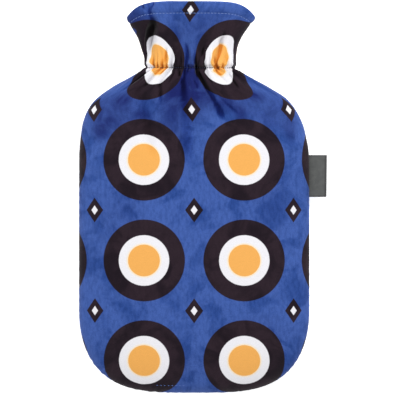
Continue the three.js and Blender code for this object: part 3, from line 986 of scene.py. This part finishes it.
# %% [markdown]
# ## Pile and knit
# Velour is a knit with a cut pile that lies one way. Stroked the wrong way it turns dark, so its
# colour is never even: there are soft patches a couple of centimetres across, short streaks along
# the nap, and a grain as fine as the fibres. One group makes all three from noise on the flat cut.
# The velour, its backing, the ribbon and the thread use it with their own sizes, in metres.
# %% Textile grain group
SIZES = {"Patch Size": 0.018, "Streak Size": 0.004, "Fibre Size": 0.0006}


def grain_group():
    """Patches, streaks and fibres, each from 0 to 1 and mostly near a half."""
    group, given, out = new_group(
        "textile_grain",
        [("Place", VECTOR, None)] + [(name, FLOAT, size) for name, size in SIZES.items()],
        [("Patches", FLOAT), ("Streaks", FLOAT), ("Fibres", FLOAT)],
    )

    def noise(size, stretch=(1, 1, 1), distortion=0.0):
        """Noise of one size; a stretch below 1 makes it longer in that direction."""
        settings = {
            "Vector": vector_calc(group, "MULTIPLY", given["Place"], stretch),
            "Scale": calc(group, "DIVIDE", 1.0, given[size]),
            "Detail": 3.0, "Roughness": 0.55, "Distortion": distortion,
        }
        return put(group, "ShaderNodeTexNoise", settings).outputs[0]

    along_nap = (1, 0.4, 1)
    group.links.new(noise("Patch Size", distortion=0.7), out["Patches"])
    group.links.new(noise("Streak Size", stretch=along_nap), out["Streaks"])
    group.links.new(noise("Fibre Size", stretch=along_nap), out["Fibres"])
    return group


textile_grain = grain_group()
print("Groups:", ", ".join(group.name for group in bpy.data.node_groups))

# %% [markdown]
# ## What every cloth material shares
# Each material starts from a Principled shader with its constant values on its own sockets, because
# an export drops them when they come from a node. The pattern of a sheet is read from its flat cut,
# and a bump gives the finest relief, which is too fine to model.
# %% Material helpers
def new_material(name, roughness, **fixed):
    """A material, its node tree and its Principled shader with its constant values."""
    material = bpy.data.materials.new(name)
    material.use_nodes = True
    tree = material.node_tree
    shader = tree.nodes["Principled BSDF"]
    shader.inputs["Roughness"].default_value = roughness
    for key, value in fixed.items():
        shader.inputs[key.replace("_", " ")].default_value = value
    return material, tree, shader


def flat_place(tree):
    """The place on the flat cut."""
    return put(tree, "ShaderNodeUVMap", uv_map="flat_cut").outputs[0]


def grain_at(tree, place, patch, streak, fibre):
    """Patches, streaks and fibres at a place, for sizes in metres."""
    return use_group(tree, textile_grain, Place=place, Patch_Size=patch, Streak_Size=streak, Fibre_Size=fibre)


def add_bump(tree, shader, height, distance, strength=0.5):
    """Relief from a value, as deep as distance in metres where strength is 1."""
    made = put(tree, "ShaderNodeBump", {"Height": height, "Distance": distance, "Strength": strength})
    tree.links.new(made.outputs[0], shader.inputs["Normal"])


# %% [markdown]
# ## Darkened areas
# The blue is deep in a few areas below the neck, on the shoulders and in the collar; on the body
# there are a few faint ones. Noise alone would put them anywhere, so they stand in a table on the
# flat cut, in millimetres: the middle of each, across and along, its half-width, its half-length and
# how dark it is.
# %% Darkened areas
DARKENED = table(
    "x y across along dark",
    (-4, 98, 40, 40, 0.9), (-22, 58, 26, 32, 0.6), (40, 88, 36, 18, 0.6), (-72, 74, 40, 30, 0.8),
    (60, -120, 40, 24, 0.2), (-56, 152, 26, 36, 0.7), (0, 118, 130, 60, 0.45), (20, 158, 40, 20, 0.2),
    (74, 78, 40, 26, 0.5), (-64, -20, 30, 44, 0.2), (70, 0, 26, 50, 0.15), (-30, -150, 60, 20, 0.2),
    (-66, 88, 15, 9, 0.5), (-84, 60, 12, 16, 0.5), (-44, 74, 12, 8, 0.4), (62, 94, 18, 9, 0.7),
    (44, 66, 9, 20, 0.6), (88, 62, 10, 18, 0.5), (-16, 134, 12, 20, 0.4), (16, 128, 8, 22, 0.4),
)


def darkened_areas(tree, place):
    """How dark the listed areas make a place."""
    total = 0.0
    for row in rows_of(DARKENED):
        off = vector_calc(tree, "SUBTRACT", place, (row["x"] * MM, row["y"] * MM, 0))
        off = vector_calc(tree, "MULTIPLY", off, (1 / MM / row["across"], 1 / MM / row["along"], 0))
        distance = put(tree, "ShaderNodeVectorMath", {0: off}, operation="LENGTH").outputs["Value"]
        total = calc(tree, "ADD", total, ramp(tree, distance, 1.0, 0.15, high=row["dark"]))
    return total


print(len(DARKENED["x"]), "darkened areas")

# %% [markdown]
# ## Velour
# The blue ground takes the most from the nap: it goes from a mid blue where the pile stands up to a
# darker blue where it lies flat, in random patches and streaks, and to a deep navy in the listed
# darkened areas. The near-black changes a little and the white hardly at all. All of them get painted
# shade in the folds, darker and deeper in colour, from the hollow attribute of the panels. A little
# sheen lightens the cloth where it turns away, as the tips of a pile do. Noise keeps near a half, so
# every ramp below takes only a narrow part of it.
# %% Printed velour
BLUE_LIT, BLUE_BRUSHED, BLUE_DEEP = linear("3E5AA0"), linear("264386"), linear("192360")
BLACK_LIT, BLACK_BRUSHED, WHITE = linear("2B2028"), linear("1D151D"), linear("E5E4E9")
ORANGE, ORANGE_HALO = linear("E9A958"), linear("F1DDB8")


def printed_colour(tree, place, grain, masks):
    """The colour of the pile, with its print and its brushed areas."""
    streaks = calc(tree, "MULTIPLY", ramp(tree, grain["Streaks"], 0.4, 0.7), 0.26)
    flat_pile = calc(tree, "ADD", ramp(tree, grain["Patches"], 0.44, 0.66), streaks)
    flat_pile = calc(tree, "MINIMUM", calc(tree, "MULTIPLY", flat_pile, 0.85), 1.0)
    ground = blend_colours(tree, flat_pile, BLUE_LIT, BLUE_BRUSHED)
    # Deep navy in the listed darkened areas, broken up by the patches.
    patchy = ramp(tree, grain["Patches"], 0.25, 0.6, low=0.45)
    deep = calc(tree, "MINIMUM", calc(tree, "MULTIPLY", darkened_areas(tree, place), patchy), 1.0)
    ground = blend_colours(tree, deep, ground, BLUE_DEEP)
    black = blend_colours(tree, ramp(tree, grain["Patches"], 0.4, 0.65), BLACK_LIT, BLACK_BRUSHED)
    colour = blend_colours(tree, masks["Dark"], ground, black)
    colour = blend_colours(tree, masks["Light"], colour, WHITE)
    colour = blend_colours(tree, masks["Halo"], colour, ORANGE_HALO)
    return blend_colours(tree, masks["Orange"], colour, ORANGE)


def grain_and_fold_shade(tree, grain, masks, hollow):
    """Fibre and streak grain with painted shade in the folds; the grain shows less on the light print."""
    fibres = ramp(tree, grain["Fibres"], 0.3, 0.7, low=-0.15, high=0.13)
    fibres = calc(tree, "MULTIPLY", fibres, calc(tree, "MULTIPLY_ADD", masks["Light"], -0.6, 1.0))
    mottle = ramp(tree, grain["Streaks"], 0.3, 0.7, low=0.06, high=-0.08)
    mottle = calc(tree, "MULTIPLY", mottle, calc(tree, "MULTIPLY_ADD", masks["Light"], -0.85, 1.0))
    # Painted shade: the colour is darkened in the folds by the hollow attribute.
    folds = calc(tree, "MULTIPLY_ADD", hollow, -0.16, 1.0)
    shade = calc(tree, "ADD", calc(tree, "ADD", fibres, mottle), folds)
    return put(tree, "ShaderNodeCombineXYZ", {0: shade, 1: shade, 2: shade}).outputs[0]


def velour_material():
    material, tree, shader = new_material(
        "printed_velour", 0.95, Specular_IOR_Level=0.1, Sheen_Weight=0.12, Sheen_Roughness=0.45
    )
    place = flat_place(tree)
    grain = grain_at(tree, place, patch=0.024, streak=0.0026, fibre=0.00045)
    masks = use_group(tree, roundel_print, Place=place)
    hollow = put(tree, "ShaderNodeAttribute", attribute_name="hollow").outputs["Fac"]
    colour, shade = printed_colour(tree, place, grain, masks), grain_and_fold_shade(tree, grain, masks, hollow)
    colour = blend_colours(tree, 1.0, colour, shade, mode="MULTIPLY")
    # Painted shade: the colour deepens further in the folds, by the hollow attribute.
    deeper = calc(tree, "MULTIPLY_ADD", hollow, 0.5, 1.0)
    colour = put(tree, "ShaderNodeGamma", {"Color": colour, "Gamma": deeper}).outputs[0]
    tree.links.new(colour, shader.inputs["Base Color"])
    add_bump(tree, shader, grain["Fibres"], distance=0.0002, strength=0.4)
    return material


velour = velour_material()
print(velour.name, "has", len(velour.node_tree.nodes), "nodes")

# %% [markdown]
# ## Knitted backing
# Through the mouth the inside of the cloth shows: an off-white knit with the print grinning through
# very faintly. Its stitches are fine columns, drawn as a wave on the flat cut and broken up by the
# same grain.
# %% Backing material
def stripes(tree, place, scale, distortion, **settings):
    """Fine parallel stripes, for the columns of a knit or the ribs of a ribbon."""
    inputs = {"Vector": place, "Scale": scale, "Distortion": distortion, **settings}
    return put(tree, "ShaderNodeTexWave", inputs, bands_direction="X").outputs["Fac"]


def backing_material():
    material, tree, shader = new_material("knitted_backing", 0.95, Specular_IOR_Level=0.15)
    place = flat_place(tree)
    grain = grain_at(tree, place, patch=0.02, streak=0.002, fibre=0.0006)
    masks = use_group(tree, roundel_print, Place=place, Bleed=1.4)
    wales = stripes(tree, place, scale=140, distortion=1.5, Detail=1)
    patches = ramp(tree, grain["Patches"], 0.3, 0.7, high=0.6)
    colour = blend_colours(tree, patches, linear("E6E5E6"), linear("CFD2DC"))
    colour = blend_colours(tree, calc(tree, "MULTIPLY", masks["Dark"], 0.12), colour, linear("77727C"))
    colour = blend_colours(tree, ramp(tree, wales, 0.2, 0.9, high=0.25), colour, linear("B9BAC4"))
    tree.links.new(colour, shader.inputs["Base Color"])
    add_bump(tree, shader, calc(tree, "ADD", wales, grain["Fibres"]), distance=0.0003)
    return material


backing = backing_material()
print(backing.name, "has", len(backing.node_tree.nodes), "nodes")

# %% [markdown]
# ## Ribbon
# The ribbon is a dense satin weave: ribs across its length, a soft shine, slightly darker selvedges,
# and painted shade along the fold. The ribs are the same kind of stripes as the columns of the knit,
# only finer. The fold and the selvedges are found by their distance from the middle of the ribbon's
# flat cut.
# %% Ribbon material
# The band at the fold is painted shade where the ribbon turns over.
FOLD_SHADE_BAND, SELVEDGE = (0.0028, 0.0018), (0.0015, 0.0007)  # metres where they start and are full


def selvedges_and_fold_shade(tree, place):
    """1 along the two selvedges, and along the fold, where it stands for painted shade."""
    split = put(tree, "ShaderNodeSeparateXYZ", {0: place}).outputs

    def from_middle(axis, size):
        """Distance from the middle of the ribbon along one axis, in metres."""
        return calc(tree, "ABSOLUTE", calc(tree, "SUBTRACT", split[axis], size * MM / 2))

    to_selvedge = calc(tree, "SUBTRACT", LABEL_HEIGHT * MM / 2, from_middle(1, LABEL_HEIGHT))
    # Painted shade along the fold, where the ribbon turns over.
    fold = ramp(tree, from_middle(0, ribbon_length), *FOLD_SHADE_BAND)
    return calc(tree, "MAXIMUM", fold, ramp(tree, to_selvedge, *SELVEDGE))


def ribbon_material():
    material, tree, shader = new_material("woven_ribbon", 0.62, Specular_IOR_Level=0.3, Sheen_Weight=0.1)
    place = flat_place(tree)
    grain = grain_at(tree, place, patch=0.006, streak=0.0008, fibre=0.0004)
    ribs = stripes(tree, place, scale=420, distortion=0.6)
    colour = blend_colours(tree, ramp(tree, grain["Patches"], 0.3, 0.7), linear("4A4C4C"), linear("545655"))
    # Darker selvedges, and painted shade along the fold.
    border_and_fold_shade = calc(tree, "MULTIPLY", selvedges_and_fold_shade(tree, place), 0.9)
    colour = blend_colours(tree, border_and_fold_shade, colour, linear("3A3A3B"))
    colour = blend_colours(tree, ramp(tree, ribs, 0.3, 0.9, high=0.25), colour, linear("3F403F"))
    tree.links.new(colour, shader.inputs["Base Color"])
    add_bump(tree, shader, calc(tree, "ADD", ribs, grain["Fibres"]), distance=0.0001)
    return material


ribbon = ribbon_material()
print(ribbon.name, "has", len(ribbon.node_tree.nodes), "nodes")

# %% [markdown]
# ## Three threads
# The threads are twisted polyester, one light for the hem, one dark for the elastic, and one blue
# for the closing stitches. They differ in colour alone, so one function makes all three from a light
# and a dark shade. A stitch has no flat cut, so its grain is read from its place on the cover.
# %% Thread materials
def thread_material(name, light, dark):
    material, tree, shader = new_material(name, 0.7, Specular_IOR_Level=0.3, Sheen_Weight=0.1)
    place = put(tree, "ShaderNodeTexCoord").outputs["Object"]
    grain = grain_at(tree, place, patch=0.004, streak=0.0005, fibre=0.0002)
    twist = ramp(tree, grain["Streaks"], 0.35, 0.65)
    tree.links.new(blend_colours(tree, twist, linear(dark), linear(light)), shader.inputs["Base Color"])
    add_bump(tree, shader, grain["Fibres"], distance=0.0001)
    return material


hem_thread = thread_material("hem_thread", "8299CF", "5F78B5")
elastic_thread = thread_material("elastic_thread", "2B3150", "171A2C")
closing_thread = thread_material("closing_thread", "6A84C6", "4763A8")
print("Threads:", ", ".join(thread.name for thread in (hem_thread, elastic_thread, closing_thread)))

# %% [markdown]
# ## Dress the pieces
# Each piece gets its materials, the solid that it stands for is hidden, and the piece is attached to
# the root. The first material of a panel is the one outside, the second the one inside.
# %% Materials and nodes
sheets = (
    (front_velour, "front_panel", "velour", (velour, backing)),
    (back_velour, "back_panel", "velour", (velour, backing)),
    (label, "side_label", "ribbon", (ribbon,)),
)
for piece, node, slot, materials in sheets:
    for material in materials:
        piece.data.materials.append(material)
    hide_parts(node)
    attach(piece, "root")

stitches = (
    (front_hem, hem_thread), (back_hem, hem_thread), (front_shirr, elastic_thread),
    (back_shirr, elastic_thread), (closing, closing_thread),
)
for piece, thread in stitches:
    piece.data.materials.append(thread)
    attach(piece, "root")
print(len(sheets), "sheets and", len(stitches), "rows of stitches")

# %% [markdown]
# ## The size of each cut
# The flat sizes of the two panels are printed, in metres.
# %% Cloth sizes
print("Flat sizes in metres:", *[tuple(round(float(v), 4) for v in size) for size in (front_size, back_size)])

# %% [markdown]
# ## Floor and backdrop
# The cover lies on a wide white light table. It glows a little by itself, which keeps the shadows
# under the cover faint. Behind it, seen from a low angle, the grey of the surrounding light would
# show, so a white dome closes the view. The dome is seen by the camera alone and lights nothing.
# %% Light table and dome
TABLE_SIZE, DOME_RADIUS = 20.0, 25.0  # metres


def stage_piece(name, shape, glow):
    """A piece of the stage from an open bmesh, plain white and glowing a little."""
    mesh = bpy.data.meshes.new(name)
    shape.to_mesh(mesh)
    shape.free()
    material, _, shader = new_material(name, 0.9, Specular_IOR_Level=0.1)
    shader.inputs["Base Color"].default_value = (0.92, 0.92, 0.92, 1)
    shader.inputs["Emission Color"].default_value = (1, 1, 1, 1)
    shader.inputs["Emission Strength"].default_value = glow
    mesh.materials.append(material)
    made = new_object(name, mesh)
    made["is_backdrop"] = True
    return made


table_top = bmesh.new()
below_cover = Matrix.Translation((0, 0, -0.0004))
bmesh.ops.create_grid(table_top, x_segments=8, y_segments=8, size=TABLE_SIZE, matrix=below_cover)
stage_piece("light_table", table_top, glow=0.8)
dome_shape = bmesh.new()
bmesh.ops.create_icosphere(dome_shape, subdivisions=3, radius=DOME_RADIUS)
dome = stage_piece("white_dome", dome_shape, glow=1.0)
dome.visible_diffuse = dome.visible_glossy = dome.visible_shadow = dome.visible_transmission = False
print("Table", TABLE_SIZE, "m and dome", DOME_RADIUS, "m from the middle")

# %% [markdown]
# ## Light
# Even light from all round would leave the gathers flat, and one small lamp would make them harsh.
# A soft lamp high on one side gives the folds their shade, and a weaker one fills the other side.
# %% World and lamps
world = bpy.data.worlds.new("white_studio")
world.use_nodes = True
world.node_tree.nodes["Background"].inputs["Color"].default_value = (1, 1, 1, 1)
world.node_tree.nodes["Background"].inputs["Strength"].default_value = 0.37
bpy.context.scene.world = world


def soft_lamp(name, place, size, power):
    """A square lamp at a place in metres, turned to the cover."""
    lamp = bpy.data.lights.new(name, "AREA")
    lamp.size, lamp.energy = size, power
    made = new_object(name, lamp)
    made.location = place
    made.rotation_euler = (-Vector(place)).to_track_quat("-Z", "Y").to_euler()


soft_lamp("key_lamp", (0.6, 0.9, 1.65), size=0.8, power=29.5)
soft_lamp("fill_lamp", (-1.2, 0.1, 1.5), size=1.2, power=10.5)
print("Lamps:", ", ".join(lamp.name for lamp in bpy.data.lights))

# %% [markdown]
# ## Camera
# The camera looks straight down from high up with a long lens, so that the sides of the cover
# don't show and its outline is the one it has in plan. At the height of the seams the frame covers
# 360 mm, or 0.9 mm for each pixel of a render 400 pixels wide.
# %% Camera
FRAME_WIDTH, CAMERA_HEIGHT, SEAM_HEIGHT = 0.36, 2.6, 0.017
FRAME_MIDDLE = (0.0052, -0.0020)  # in plan, where the camera looks
camera = bpy.data.cameras.new("camera_above")
camera.sensor_width = 36
camera.lens = camera.sensor_width * (CAMERA_HEIGHT - SEAM_HEIGHT) / FRAME_WIDTH
camera.clip_start, camera.clip_end = 0.1, 100
camera_above = new_object("camera_above", camera)
camera_above.location = (*FRAME_MIDDLE, CAMERA_HEIGHT)
scene = bpy.context.scene
scene.camera = camera_above
scene.view_settings.view_transform = "Standard"
print(f"Lens {camera.lens:.0f} mm")

# %% [markdown]
# ## Sizes
# The finished cover is meant to stay within the box of the solids, so the two boxes are printed
# side by side.
# %% Print the two boxes
boxes = {"cad": [list(c) for c in cad_box], "visual": [list(c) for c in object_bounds()]}
for name, (low, high) in boxes.items():
    print(name, [round(v * 1000, 1) for v in low], [round(v * 1000, 1) for v in high])
